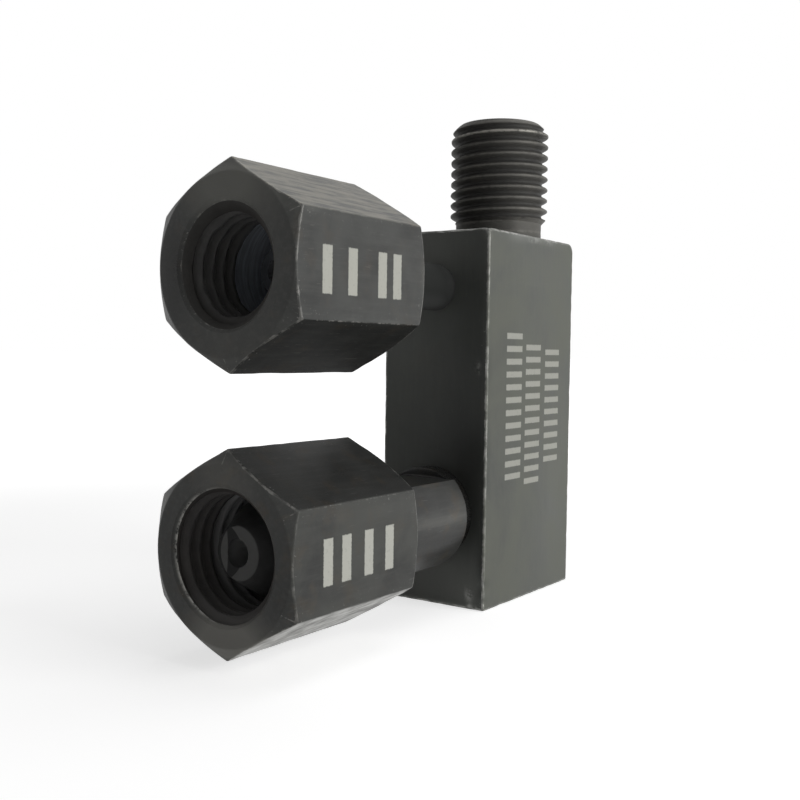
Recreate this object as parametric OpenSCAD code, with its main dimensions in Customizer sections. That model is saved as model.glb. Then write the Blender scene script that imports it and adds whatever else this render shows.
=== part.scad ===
// High-pressure fuel adapter block, in millimetres.
// Origin: centre of the block's bottom face. +Z runs up along the outlet stud,
// -Y points out of the two couplings' mouths, X is across the block's width.

/* [Block] */
// width of the block across X, measured against the hexagons
block_w = 16; // [14.5:0.5:20]
// depth of the block along Y
block_d = 24; // [22:0.5:28]
// height of the block along Z
block_h = 49; // [47:0.5:54]
// chamfer along the block's milled edges
block_edge = 0.4; // [0.2:0.1:0.8]
// radius of the worn edge between the top and the back
block_back_round = 1.4; // [0.9:0.1:2.2]
// bore of the gallery that joins the three ports
gallery_d = 3; // [2.4:0.1:3.4]
// depth of the ports that hold the couplings' spigots
port_depth = 6; // [5:0.5:8]

/* [Outlet stud] */
// outside diameter over the thread crests
stud_d = 13.9; // [12.9:0.1:14]
// height of the stud over the block's top
stud_h = 16.3; // [13:0.1:20]
// pitch of the stud's thread
stud_pitch = 1.5; // [1:0.25:2]
// distance of the stud's axis behind the block's centre
stud_y = 4.1; // [3:0.1:4.6]
// chamfer at the stud's top
stud_chamfer = 1; // [0.6:0.1:1.4]
// diameter of the thread relief at the stud's foot
stud_relief_d = 12.1; // [11.4:0.1:12.5]
// height of the thread relief
stud_relief_h = 2.4; // [1.6:0.1:3]
// diameter of the spigot that the block holds
stud_foot_d = 10; // [8:0.5:11]
// length of that spigot
stud_foot_len = 5; // [3.5:0.5:5]
// mouth diameter of the conical seat in the stud's top
stud_seat_d = 9; // [7:0.5:10]

/* [Upper coupling] */
// height of its axis over the block's bottom
upper_z = 41.6; // [40.5:0.1:42]
// distance of its mouth in front of the block's front face
upper_reach = 38.7; // [36:0.1:42]
// hexagon across its flats
upper_af = 19; // [17:0.5:20]
// length of the hexagon
upper_len = 22; // [20:0.5:24]
// bore over the crests of the inner thread
upper_bore_d = 10.38; // [10.1:0.02:10.6]
// outer diameter of the chamfer at the mouth
upper_mouth_d = 12.9; // [12.2:0.1:13.6]
// depth at which the inner thread ends
upper_thread_len = 7.8; // [6.5:0.1:8.5]
// diameter of the smooth relief behind the thread
upper_relief_d = 12.2; // [12:0.1:12.8]
// depth of the whole bore
upper_bore_len = 15; // [14:0.5:16.5]
// diameter of the slim neck that joins the hexagon to the block
upper_neck_d = 6; // [5.4:0.1:7.5]

/* [Lower coupling] */
// height of its axis over the block's bottom
lower_z = 12.2; // [12:0.1:14]
// distance of its mouth in front of the block's front face
lower_reach = 38.9; // [36:0.1:42]
// hexagon across its flats
lower_af = 19; // [18:0.5:20]
// length of the hexagon
lower_len = 21.6; // [20:0.5:24]
// bore over the crests of the inner thread
lower_bore_d = 12.38; // [12.1:0.02:12.6]
// outer diameter of the chamfer at the mouth
lower_mouth_d = 14.7; // [14.2:0.1:15.4]
// depth of the threaded bore
lower_bore_len = 11; // [10:0.5:14]
// diameter of the plain shank behind the hexagon
shank_d = 13.9; // [13:0.1:14.5]
// height of the flat along the shank's top over its axis
shank_flat = 4.85; // [4.4:0.05:6.4]
// chamfer at the shank's rear rim
shank_edge = 0.3; // [0.1:0.1:0.6]
// distance between the shank's rear rim and the block
shank_gap = 2.5; // [1.5:0.1:4]
// diameter of the spigot between the shank and the block
lower_neck_d = 12; // [10:0.1:12.4]

/* [Nipples] */
// outer diameter of the flat ring at the upper nose
upper_nose_d = 4.9; // [4.2:0.1:5.6]
// outer diameter of the upper nipple's head
upper_head_d = 8.8; // [8:0.1:9.6]
// distance of the upper nose behind the coupling's mouth
upper_nose_depth = 8; // [7.9:0.1:9]
// outer diameter of the flat ring at the lower nose
lower_nose_d = 5.7; // [5:0.1:6.2]
// outer diameter of the lower nipple's head
lower_head_d = 10.4; // [9.5:0.1:11.2]
// distance of the lower nose behind the coupling's mouth
lower_nose_depth = 2.4; // [1.8:0.1:3.2]
// full angle of both conical noses
nose_angle = 60; // [54:1:66]
// bore through both nipples and both couplings
fuel_bore_d = 2.9; // [2.2:0.1:3.2]
// diameter of the tails that the couplings hold
nipple_tail_d = 5; // [4.4:0.1:5.2]
// length of those tails
nipple_tail_len = 4; // [3:0.5:5]

/* [Hidden] */
round_fn = 96;
edge_fn = 24;
hex_sides = 6;
over = 0.5;
drill_angle = 118;
seat_angle = 60;
hex_chamfer_angle = 30;
thread_angle = 60;
thread_depth = 0.6 * stud_pitch;
thread_crest = stud_pitch / 6;
thread_groove = stud_pitch - thread_crest;
thread_flank = thread_depth * tan(thread_angle / 2);
front_y = -block_d / 2;
upper_mouth_y = front_y - upper_reach;
lower_mouth_y = front_y - lower_reach;
stud_seat_depth = (stud_seat_d - gallery_d) / 2 / tan(seat_angle / 2);
gallery_bottom = lower_z - fuel_bore_d / 2;
drill_tip = gallery_d / 2 / tan(drill_angle / 2);
shank_end = lower_reach - shank_gap;
thread_foot = stud_relief_h + (stud_d - stud_relief_d) / 2;
thread_len = stud_h - stud_chamfer - thread_foot;
thread_grooves = floor((thread_len + thread_crest / 2) / stud_pitch);
thread_first = thread_foot + (thread_len - thread_grooves * stud_pitch + thread_crest) / 2;

// turns a shape drawn along +Z so that it runs from a mouth into the block
module from_mouth(y, z) {
  translate([0, y, z]) rotate([-90, 0, 0]) children();
}

// rectangle with four cut corners, centred on the origin
module cut_rectangle(w, d, c) {
  polygon([[-w / 2 + c, -d / 2], [w / 2 - c, -d / 2], [w / 2, -d / 2 + c], [w / 2, d / 2 - c],
           [w / 2 - c, d / 2], [-w / 2 + c, d / 2], [-w / 2, d / 2 - c], [-w / 2, -d / 2 + c]]);
}

// the block's outline seen from the side, with y to the right and z up
module side_outline() {
  difference() {
    translate([0, block_h / 2]) cut_rectangle(block_d, block_h, block_edge);
    translate([block_d / 2 - block_back_round, block_h - block_back_round]) difference() {
      square([block_back_round + over, block_back_round + over]);
      circle(r = block_back_round, $fn = edge_fn * 4);
    }
  }
}

// bar with three chamfered outlines
module block_body() {
  intersection() {
    linear_extrude(height = block_h) cut_rectangle(block_w, block_d, block_edge);
    rotate([90, 0, 90]) translate([0, 0, -block_w / 2]) linear_extrude(height = block_w) side_outline();
    translate([0, block_d / 2, 0]) rotate([90, 0, 0]) linear_extrude(height = block_d)
      translate([0, block_h / 2]) cut_rectangle(block_w, block_h, block_edge);
  }
}

// milled block with the stud's socket, the gallery and both ports
module block() {
  color([0.34, 0.36, 0.35]) difference() {
    block_body();
    translate([0, stud_y, block_h - stud_foot_len])
      cylinder(d = stud_foot_d, h = stud_foot_len + over, $fn = round_fn);
    translate([0, stud_y, gallery_bottom])
      cylinder(d = gallery_d, h = block_h, $fn = round_fn);
    translate([0, stud_y, gallery_bottom - drill_tip])
      cylinder(d1 = 0, d2 = gallery_d, h = drill_tip, $fn = round_fn);
    from_mouth(front_y - over, upper_z)
      cylinder(d = upper_neck_d, h = port_depth + over, $fn = round_fn);
    from_mouth(front_y, upper_z)
      cylinder(d = fuel_bore_d, h = stud_y - front_y, $fn = round_fn);
    from_mouth(front_y - over, lower_z)
      cylinder(d = lower_neck_d, h = port_depth + over, $fn = round_fn);
    from_mouth(front_y, lower_z)
      cylinder(d = fuel_bore_d, h = stud_y - front_y, $fn = round_fn);
  }
}

// one groove of the stud's thread from its lower crest to its upper one, as points of the profile
function thread_groove_points(z) = [[stud_d / 2, z], [stud_d / 2 - thread_depth, z + thread_flank],
  [stud_d / 2 - thread_depth, z + thread_groove - thread_flank], [stud_d / 2, z + thread_groove]];

// turned stud: spigot, thread relief, thread as closed rings, top chamfer and conical seat
module outlet_stud() {
  color([0.38, 0.37, 0.34]) translate([0, stud_y, block_h]) rotate_extrude($fn = round_fn)
    polygon([[gallery_d / 2, -stud_foot_len], [stud_foot_d / 2, -stud_foot_len], [stud_foot_d / 2, 0],
             [stud_relief_d / 2, 0], [stud_relief_d / 2, stud_relief_h], [stud_d / 2, thread_foot],
             for (i = [0:thread_grooves - 1]) each thread_groove_points(thread_first + i * stud_pitch),
             [stud_d / 2, stud_h - stud_chamfer], [stud_d / 2 - stud_chamfer, stud_h],
             [stud_seat_d / 2, stud_h], [gallery_d / 2, stud_h - stud_seat_depth]]);
}

// hexagon bar with a corner up and the corners turned off at both ends
module hex_bar(af, len) {
  corner_r = af / 2 / cos(180 / hex_sides);
  cut_h = (corner_r - af / 2) * tan(hex_chamfer_angle);
  intersection() {
    rotate([0, 0, 180 / hex_sides]) cylinder(r = corner_r, h = len, $fn = hex_sides);
    rotate_extrude($fn = round_fn)
      polygon([[0, 0], [af / 2, 0], [corner_r + over, cut_h + over * tan(hex_chamfer_angle)],
               [corner_r + over, len - cut_h - over * tan(hex_chamfer_angle)], [af / 2, len], [0, len]]);
  }
}

// turned hexagon coupling with a slim neck in one piece
module upper_coupling() {
  mouth_cut = (upper_mouth_d - upper_bore_d) / 2;
  relief_cut = (upper_relief_d - upper_bore_d) / 2;
  color([0.40, 0.41, 0.40]) from_mouth(upper_mouth_y, upper_z) difference() {
    union() {
      hex_bar(upper_af, upper_len);
      cylinder(d = upper_neck_d, h = upper_reach + port_depth, $fn = round_fn);
    }
    rotate_extrude($fn = round_fn)
      polygon([[0, -over], [upper_mouth_d / 2 + over, -over], [upper_bore_d / 2, mouth_cut],
               [upper_bore_d / 2, upper_thread_len - relief_cut], [upper_relief_d / 2, upper_thread_len],
               [upper_relief_d / 2, upper_bore_len], [nipple_tail_d / 2, upper_bore_len],
               [nipple_tail_d / 2, upper_bore_len + nipple_tail_len],
               [fuel_bore_d / 2, upper_bore_len + nipple_tail_len],
               [fuel_bore_d / 2, upper_reach + port_depth + over], [0, upper_reach + port_depth + over]]);
  }
}

// round shank behind the hexagon, with a flat along its top, a chamfered rim and the spigot behind it
module flat_shank() {
  difference() {
    rotate_extrude($fn = round_fn)
      polygon([[0, lower_len - over], [shank_d / 2, lower_len - over], [shank_d / 2, shank_end - shank_edge],
               [shank_d / 2 - shank_edge, shank_end], [lower_neck_d / 2, shank_end],
               [lower_neck_d / 2, lower_reach + port_depth], [0, lower_reach + port_depth]]);
    translate([-shank_d / 2, -shank_d / 2 - over, lower_len])
      cube([shank_d, shank_d / 2 + over - shank_flat, shank_end - lower_len]);
  }
}

// turned hexagon coupling with its shank and spigot in one piece
module lower_coupling() {
  mouth_cut = (lower_mouth_d - lower_bore_d) / 2;
  color([0.40, 0.41, 0.40]) from_mouth(lower_mouth_y, lower_z) difference() {
    union() {
      hex_bar(lower_af, lower_len);
      flat_shank();
    }
    rotate_extrude($fn = round_fn)
      polygon([[0, -over], [lower_mouth_d / 2 + over, -over], [lower_bore_d / 2, mouth_cut],
               [lower_bore_d / 2, lower_bore_len], [nipple_tail_d / 2, lower_bore_len],
               [nipple_tail_d / 2, lower_bore_len + nipple_tail_len],
               [fuel_bore_d / 2, lower_bore_len + nipple_tail_len],
               [fuel_bore_d / 2, lower_reach + port_depth + over], [0, lower_reach + port_depth + over]]);
  }
}

// nipple with a flat ring, a conical nose, a round head and a tail
module nipple(nose_d, head_d, nose_depth, bore_len) {
  cone_len = (head_d - nose_d) / 2 / tan(nose_angle / 2);
  rotate_extrude($fn = round_fn)
    polygon([[fuel_bore_d / 2, nose_depth], [nose_d / 2, nose_depth], [head_d / 2, nose_depth + cone_len],
             [head_d / 2, bore_len], [nipple_tail_d / 2, bore_len],
             [nipple_tail_d / 2, bore_len + nipple_tail_len], [fuel_bore_d / 2, bore_len + nipple_tail_len]]);
}

// nose piece pressed into the upper coupling
module upper_nipple() {
  color([0.46, 0.46, 0.44]) from_mouth(upper_mouth_y, upper_z)
    nipple(upper_nose_d, upper_head_d, upper_nose_depth, upper_bore_len);
}

// nose piece pressed into the lower coupling
module lower_nipple() {
  color([0.46, 0.46, 0.44]) from_mouth(lower_mouth_y, lower_z)
    nipple(lower_nose_d, lower_head_d, lower_nose_depth, lower_bore_len);
}

block();
outlet_stud();
upper_coupling();
lower_coupling();
upper_nipple();
lower_nipple();
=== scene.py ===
import bpy
import math
import numpy as np
from mathutils import Matrix, Vector


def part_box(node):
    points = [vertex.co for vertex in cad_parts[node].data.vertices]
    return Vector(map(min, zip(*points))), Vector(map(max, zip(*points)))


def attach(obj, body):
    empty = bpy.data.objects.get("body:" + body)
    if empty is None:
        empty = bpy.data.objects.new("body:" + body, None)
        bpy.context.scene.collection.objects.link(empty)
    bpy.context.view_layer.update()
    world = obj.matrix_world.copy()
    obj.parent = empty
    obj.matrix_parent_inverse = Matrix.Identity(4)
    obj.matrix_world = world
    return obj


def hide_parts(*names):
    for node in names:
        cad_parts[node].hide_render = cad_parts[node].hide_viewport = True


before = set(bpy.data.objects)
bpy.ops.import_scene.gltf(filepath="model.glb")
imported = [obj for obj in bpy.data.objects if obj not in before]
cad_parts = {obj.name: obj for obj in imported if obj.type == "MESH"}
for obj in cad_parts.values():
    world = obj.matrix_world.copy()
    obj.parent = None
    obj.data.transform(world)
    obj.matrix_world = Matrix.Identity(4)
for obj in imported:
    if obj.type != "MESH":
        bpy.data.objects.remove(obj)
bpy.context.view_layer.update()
mm = 0.001

# Shapes. Every surface is an array of points in millimetres, worked out at once.


# smooth noise on a plane: four random heights round each cell, joined both ways by the cubic f*f*(3 - 2f)
def ripple(u, v, seed, count=61):
    table = np.random.default_rng(seed).uniform(-1, 1, (count, count))
    i = np.floor(u).astype(int)
    j = np.floor(v).astype(int)
    f = u - i
    g = v - j
    f = f * f * (3 - 2 * f)
    g = g * g * (3 - 2 * g)
    low = table[i % count, j % count] * (1 - f) + table[(i + 1) % count, j % count] * f
    high = table[i % count, (j + 1) % count] * (1 - f) + table[(i + 1) % count, (j + 1) % count] * f
    return low * (1 - g) + high * g


# steps from 0 to 1 that crowd towards both ends: (1 - cos(pi*k/n)) / 2
def crowded(n):
    return (1 - np.cos(np.linspace(0, math.pi, n))) / 2


# a tint that starts at 1 and is raised or lowered round chosen places by change*exp(-distance^2/size^2);
# it carries stains and wear as well as painted light and shade
def patchTint(points, stainsAndPaintedLight):
    tint = np.ones(points.shape[:-1])
    for place, change, size in stainsAndPaintedLight:
        away = ((points - np.array(place)) / np.array(size)) ** 2
        tint = tint + change * np.exp(-away.sum(-1))
    return tint


# a grid of points becomes quads, turned so that the closed surface holds a positive volume. facts become
# attributes of its points, and coats is the material slot of each quad
def gridPiece(name, points, closeRows, facts, capEnds=False, sharp=40, coats=None):
    rows, cols = points.shape[:2]
    r = np.arange(rows if closeRows else rows - 1)[:, None]
    c = np.arange(cols)[None, :]
    nextR = (r + 1) % rows
    nextC = (c + 1) % cols
    sides = [r * cols + c, r * cols + nextC, nextR * cols + nextC, nextR * cols + c]
    quads = np.stack(np.broadcast_arrays(*sides), -1).reshape(-1, 4)
    flat = points.reshape(-1, 3)
    p = flat[quads]
    volume = (np.cross(p[:, 0], p[:, 1]) * p[:, 2]).sum() + (np.cross(p[:, 0], p[:, 2]) * p[:, 3]).sum()
    inward = volume < 0
    faces = quads[:, ::-1].tolist() if inward else quads.tolist()
    if capEnds:
        first = list(range(cols))
        last = list(range((rows - 1) * cols, rows * cols))
        faces += [first, last[::-1]] if inward else [first[::-1], last]
    mesh = bpy.data.meshes.new(name)
    mesh.from_pydata((flat * mm).tolist(), [], faces)
    mesh.polygons.foreach_set("use_smooth", np.ones(len(mesh.polygons), bool))
    mesh.set_sharp_from_angle(angle=math.radians(sharp))
    if coats is not None:
        mesh.polygons.foreach_set("material_index", coats[:len(r)].astype(np.int32).ravel())
    for fact, values in facts.items():
        column = np.broadcast_to(values, (rows, cols)).astype(np.float32).ravel()
        mesh.attributes.new(fact, "FLOAT", "POINT").data.foreach_set("value", column)
    mesh.update()
    piece = bpy.data.objects.new(name, mesh)
    bpy.context.scene.collection.objects.link(piece)
    return piece


# a broken line with rounded corners: each run stops e short of its corners, and a quadratic curve joins the
# runs. knots is (corner, [along, radius], column); the result has one row per step, with its distance to the
# nearest corner that keen counts as an edge
def roundedLine(knots, e, steps, keen=None):
    gap = np.linalg.norm(np.diff(knots, axis=0), axis=1)
    way = np.diff(knots, axis=0) / np.maximum(gap, 1e-9)[:, None]
    inner = [np.minimum(e, 0.4 * np.minimum(gap[k - 1], gap[k])) for k in range(1, len(gap))]
    cut = [np.zeros_like(gap[0])] + inner + [np.zeros_like(gap[0])]
    keen = keen or [True] * len(knots)
    far = 99.0
    lines = []
    near = []
    for k, n in enumerate(steps):
        start = knots[k] + way[k] * cut[k]
        end = knots[k + 1] - way[k] * cut[k + 1]
        t = crowded(n)[:, None, None]
        lines.append(start + (end - start) * t)
        run = crowded(n)[:, None] * np.linalg.norm(end - start, axis=0)
        fromStart = run + (0 if k and keen[k] else far)
        toEnd = run[-1:] - run + (0 if k < len(steps) - 1 and keen[k + 1] else far)
        near.append(np.minimum(fromStart, toEnd))
        if k < len(steps) - 1:
            after = knots[k + 1] + way[k + 1] * cut[k + 1]
            t = np.array([0.25, 0.5, 0.75])[:, None, None]
            lines.append((1 - t) ** 2 * end + 2 * t * (1 - t) * knots[k + 1] + t ** 2 * after)
            near.append(np.full((3, knots.shape[2]), 0.0 if keen[k + 1] else far))
    return np.concatenate(lines), np.concatenate(near)


# a rounded hexagon's radius: half/cos(angle) on a flat, and the corner circle's far side elsewhere
def hexRadius(angle, half, corner):
    centre = (half - corner) / math.cos(math.pi / 6)
    phi = np.abs((angle + math.pi / 6) % (math.pi / 3) - math.pi / 6)
    psi = math.pi / 6 - phi
    bend = centre * np.cos(psi) + np.sqrt(np.maximum(corner ** 2 - (centre * np.sin(psi)) ** 2, 0))
    return np.where(phi <= math.atan(centre * 0.5 / half), half / np.cos(phi), bend)


# angles round a hexagon, crowded towards its corners, with some more of the caller's
def hexAngles(half, corner, more):
    side = (half - corner) / math.cos(math.pi / 6) * 0.5
    flat = np.arctan(np.sin(np.linspace(-math.pi / 2, math.pi / 2, 25)) * side / half)
    bend = np.linspace(flat[-1], math.pi / 3 - flat[-1], 6)[1:-1]
    one = np.concatenate([flat, bend])
    every = (one[None, :] + np.arange(6)[:, None] * math.pi / 3).ravel()
    return np.sort(np.concatenate([every, np.radians(more)]))


# distance along a flat to the nearest hexagon corner
def cornerDistance(angle, half):
    phi = (angle + math.pi / 6) % (math.pi / 3) - math.pi / 6
    return half * (math.tan(math.pi / 6) - np.abs(np.tan(phi)))


# depth of a fine thread's groove, 0 on the crest and 1 at the root: a triangle wave cut flat at both ends,
# mixed with (1 - cos(pi*t)) / 2 by the share soft, which rounds crest and root
def grooveDepth(turns, crest, root, soft):
    d = np.abs((turns + 0.5) % 1 - 0.5)
    t = np.clip((d - crest / 2) / (0.5 - crest / 2 - root / 2), 0, 1)
    return t * (1 - soft) + (1 - np.cos(math.pi * t)) / 2 * soft


print("shapes ready")

# Materials.


# one socket in a node tree; sums and products of sockets and numbers add their Math nodes
class Wire:
    def __init__(self, tree, socket):
        self.tree = tree
        self.socket = socket

    def maths(self, kind, *others):
        node = self.tree.nodes.new("ShaderNodeMath")
        node.operation = kind
        for slot, value in zip(node.inputs, (self, *others)):
            if isinstance(value, Wire):
                self.tree.links.new(value.socket, slot)
            else:
                slot.default_value = value
        return Wire(self.tree, node.outputs[0])

    def __add__(self, other):
        return self.maths("ADD", other)

    def __mul__(self, other):
        return self.maths("MULTIPLY", other)

    def __sub__(self, other):
        return self.maths("SUBTRACT", other)

    def __truediv__(self, other):
        return self.maths("DIVIDE", other)

    def __pow__(self, other):
        return self.maths("POWER", other)

    def __rsub__(self, other):
        return (self * -1) + other

    __radd__ = __add__
    __rmul__ = __mul__


# a material under work: one method adds any node
class Paint:
    def __init__(self, name):
        self.material = bpy.data.materials.new(name)
        self.material.use_nodes = True
        self.tree = self.material.node_tree
        self.tree.nodes.clear()

    def add(self, kind, settings=None, sockets=None, out=0):
        node = self.tree.nodes.new(kind)
        for key, value in (settings or {}).items():
            setattr(node, key, value)
        for key, value in (sockets or {}).items():
            slot = node.inputs[key]
            if isinstance(value, Wire):
                self.tree.links.new(value.socket, slot)
            elif slot.type == "RGBA":
                slot.default_value = (*value, 1)
            else:
                slot.default_value = value
        return Wire(self.tree, node.outputs[out]) if len(node.outputs) else None

    def noise(self, place, scale, detail=3, rough=0.55, warp=0.0):
        sockets = {"Vector": place, "Scale": scale, "Detail": detail, "Roughness": rough, "Distortion": warp}
        return self.add("ShaderNodeTexNoise", None, sockets, "Fac")

    # 0 below low, 1 above high and a smooth step between, or the other way round where low is the larger
    def step(self, value, low, high):
        sockets = {"Value": value, "From Min": low, "From Max": high}
        return self.add("ShaderNodeMapRange", {"interpolation_type": "SMOOTHSTEP"}, sockets)

    def blend(self, factor, first, second):
        return self.add("ShaderNodeMix", {"data_type": "RGBA"}, {0: factor, 6: first, 7: second}, 2)

    # the piece's own coordinates in millimetres, stretched by scale
    def place(self, scale=(1, 1, 1), shift=(0, 0, 0)):
        here = self.add("ShaderNodeTexCoord", None, None, "Object")
        sockets = {"Vector": here, "Scale": tuple(s / mm for s in scale), "Location": shift}
        return self.add("ShaderNodeMapping", None, sockets)

    def fact(self, name):
        return self.add("ShaderNodeAttribute", {"attribute_name": name}, None, "Fac")

    def axes(self, place):
        node = self.add("ShaderNodeSeparateXYZ", None, {0: place}).socket.node
        return [Wire(self.tree, s) for s in node.outputs]

    # the tone scaled by tint: mixed with black below 1 and with the paler tone above 1
    def tinted(self, tint, tone, pale):
        dark = tint.maths("MINIMUM", 1.0).maths("MAXIMUM", 0.0)
        over = (tint - 1.0).maths("MINIMUM", 1.0).maths("MAXIMUM", 0.0)
        return self.blend(over, self.blend(dark, (0, 0, 0), tone), pale)

    def finish(self, colour, rough, metal, height, bumpSize, gloss):
        relief = {"Height": height, "Distance": bumpSize * mm, "Strength": 1.0}
        bump = self.add("ShaderNodeBump", None, relief)
        sockets = {"Base Color": colour, "Roughness": rough, "Metallic": metal, "Normal": bump}
        sockets["Specular IOR Level"] = gloss
        shader = self.add("ShaderNodeBsdfPrincipled", None, sockets)
        self.add("ShaderNodeOutputMaterial", None, {"Surface": shader})
        return self.material


# black oxide on steel: two dark tones in clouds, with brown blotches and paler lines along the cut, all
# scaled by the fact tint, which holds stains as well as painted light and shade. Where the distance to an
# edge, shaken by noise, is short, the film is rubbed to steel in a broken line, with small chips near it. lip
# adds worn places and the fact polish bright rubbed patches, on one facet a painted reflection; a side with
# marks has a film of its own under them
def steelPaint(name, look, marks=None):
    paint = Paint(name)
    place = paint.place()
    drawn = paint.place(look["grain"])
    cloud = paint.noise(place, look["cloud"], 4, 0.6, 0.4)
    second = paint.noise(paint.place(shift=(37, 11, 5)), look["cloud"] * 2.7, 5, 0.6)
    fine = paint.noise(place, 5.5, 4, 0.65)
    lines = paint.noise(drawn, 1.6, 5, 0.62)
    scratches = paint.noise(drawn, 5.0, 2, 0.5)
    edge = paint.fact("edge")
    tone = paint.blend(paint.step(cloud, 0.32, 0.68), look["dark"], look["light"])
    tone = paint.blend(paint.step(second, 0.50, 0.72) * look["warmth"], tone, look["warm"])
    tone = paint.blend(paint.step(lines, 0.40, 0.75) * look["streak"], tone, look["rub"])
    tone = paint.tinted(paint.fact("tint"), tone, look["pale"])
    shake = paint.noise(place, 1.3, 5, 0.75)
    spots = paint.noise(place, 3.0, 3, 0.6)
    where = paint.noise(place, 0.5, 3, 0.6)
    broken = paint.step(where, 0.42, 0.60) * (1 - look["bare"]) + look["bare"]
    near = paint.step(edge + (shake - 0.5) * look["ragged"], look["wear"], look["wear"] * 0.15) * broken
    chip = paint.step(spots, 0.66, 0.72) * paint.step(edge, look["chips"], look["chips"] * 0.2)
    scratch = paint.step(scratches, 0.66, 0.74) * look["scratch"]
    lip = paint.fact("lip") * paint.step(paint.noise(place, 1.2, 4, 0.7), 0.40, 0.56) * look["lip"]
    worn = (near * look["rubbed"]).maths("MAXIMUM", chip * look["chipped"]).maths("MAXIMUM", scratch)
    worn = worn.maths("MAXIMUM", lip)
    tone = paint.blend(worn, tone, look["steel"])
    patch = second * look["mottle"] + lines * (1 - look["mottle"])
    # rubbed patches, and on one facet a painted reflection
    polishAndSheen = paint.fact("polishAndSheen") * paint.step(patch, 0.38, 0.60)
    tone = paint.blend(polishAndSheen, tone, look["polishAndSheenTone"])
    rough = look["rough"] + (fine - 0.5) * 0.22 + (cloud - 0.5) * 0.12 - worn * 0.08 - polishAndSheen * 0.1
    rough = rough - (1 - paint.fact("tint").maths("MINIMUM", 1.0)) * 0.25
    metal = worn * 0.4 + polishAndSheen * 0.5 + look["metal"]
    height = lines * 0.6 + fine * 0.5 - chip * 0.8
    if marks:
        onSide = paint.step(paint.axes(place)[0], marks["side"] - 0.3, marks["side"] - 0.1)
        tone = paint.blend(onSide * paint.step(cloud, 0.25, 0.7) * marks["filmShare"], tone, marks["film"])
        etch = etched(paint, place, marks)
        tone = paint.blend(etch * marks["strength"], tone, marks["tone"])
        rough = rough + etch * 0.18
        metal = metal * (1 - etch)
        height = height - etch * 0.5
    return paint.finish(tone, rough, metal, height, 0.012, look["gloss"])


# plain etched bars on the +X side. Each row is width wide round centre in Y and runs from low to high in Z.
# Where it has a pitch it is cut into bars that fill their share of it. Fine noise frays the borders and thins
# the fill
def etched(paint, place, marks):
    x, y, z = paint.axes(place)
    fray = (paint.noise(place, 5.0, 3, 0.6) - 0.5) * 0.22
    soft = 0.07
    total = None
    for centre, width, low, high, pitch, share in marks["rows"]:
        half = (high - low) / 2
        inY = paint.step((y - centre).maths("ABSOLUTE") + fray, width / 2 + soft, width / 2 - soft)
        inZ = paint.step((z - (low + high) / 2).maths("ABSOLUTE") + fray, half + soft, half - soft)
        row = inY * inZ
        if pitch:
            cut = (((z - low) / pitch).maths("FRACT") - 0.5).maths("ABSOLUTE") * pitch + fray
            row = row * paint.step(cut, pitch * share / 2 + soft, pitch * share / 2 - soft)
        total = row if total is None else total.maths("MAXIMUM", row)
    grain = paint.step(paint.noise(place, 2.2, 5, 0.75), 0.30, 0.46) * 0.22 + 0.78
    return total * grain * paint.step(x, marks["side"] - 0.6, marks["side"] - 0.3)


print("materials ready")

# The milled block. Sizes in millimetres; a dent is (place, depth, size), a tint patch (place, change, size)
# and a worn place (place, share, size). The tint patch at (5.4, -12, 11) is painted contact shadow beside the
# lower shank's end.

blockShape = {
    "round": 0.24, "backRound": 1.4, "nick": 0.045, "seed": 5, "columnStep": 0.45, "rows": 37, "core": 1.5,
    "dents": [((8, -12, 3.4), 0.30, 0.7), ((8, -12, 1.2), 0.22, 0.5), ((8, -12, 31.0), 0.10, 0.6),
              ((8, -12, 20.5), 0.10, 0.5), ((7.0, -12, 31.6), 0.08, 0.6), ((8, -12, 48.8), 0.22, 0.6)],
    "stainsAndPaintedLight": [((5, -12, 22), -0.30, (4, 1, 16)), ((7.5, -12, 4), -0.55, (0.6, 0.5, 5)),
               ((0, -12, 5), 0.50, (9, 1, 7)), ((-5, -12, 38), 0.25, (5, 1, 12)),
               ((0, -12, 22), -0.30, (9, 1, 7)), ((6, -12, 31), -0.18, (4, 1, 14)),
               # the patch at (5.4, -12, 11) on the next line is painted contact shadow beside the lower
               # shank's end
               ((-1, -12, 46), 0.50, (6, 1, 5)), ((5.4, -12, 11), -0.42, (1.8, 1, 4.5)),
               ((5.5, -12, 1.5), 0.35, (3, 1, 3.5)), ((7.7, -12, 30), 0.30, (0.5, 0.5, 16)),
               ((8, -9, 28), -0.34, (1, 5, 11)), ((8, 1, 44), 0.10, (1, 8, 6)),
               ((8, 7, 14), 0.22, (1, 5, 14)),
               ((8, -5, 48.6), 0.5, (1, 2.5, 0.8)), ((0, -12, 0.2), 0.8, (8, 0.5, 0.3)),
               ((8, -9, 8), -0.24, (1, 5, 9)), ((8, -8, 40), -0.08, (1, 3, 6)),
               ((8, 2, 48.8), 0.5, (1, 7, 0.6))],
    "worn": [((5.8, -12, 1.8), 0.9, (0.5, 0.4, 0.8)), ((5.9, -12, 0.4), 0.9, (0.5, 0.4, 0.3)),
             ((7.3, -12, 0.3), 0.9, (0.6, 0.4, 0.3)), ((1.5, -12, 0.1), 0.7, (3, 0.4, 0.25)),
             ((8, -12, 48.8), 0.9, (0.5, 0.5, 0.9)), ((6.7, -12, 31.2), 0.6, (0.3, 0.4, 0.6)),
             ((8, 0, 48.7), 0.8, (0.4, 1.6, 0.4)), ((8, 4.5, 48.8), 0.7, (0.4, 1.0, 0.4))],
}
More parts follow.
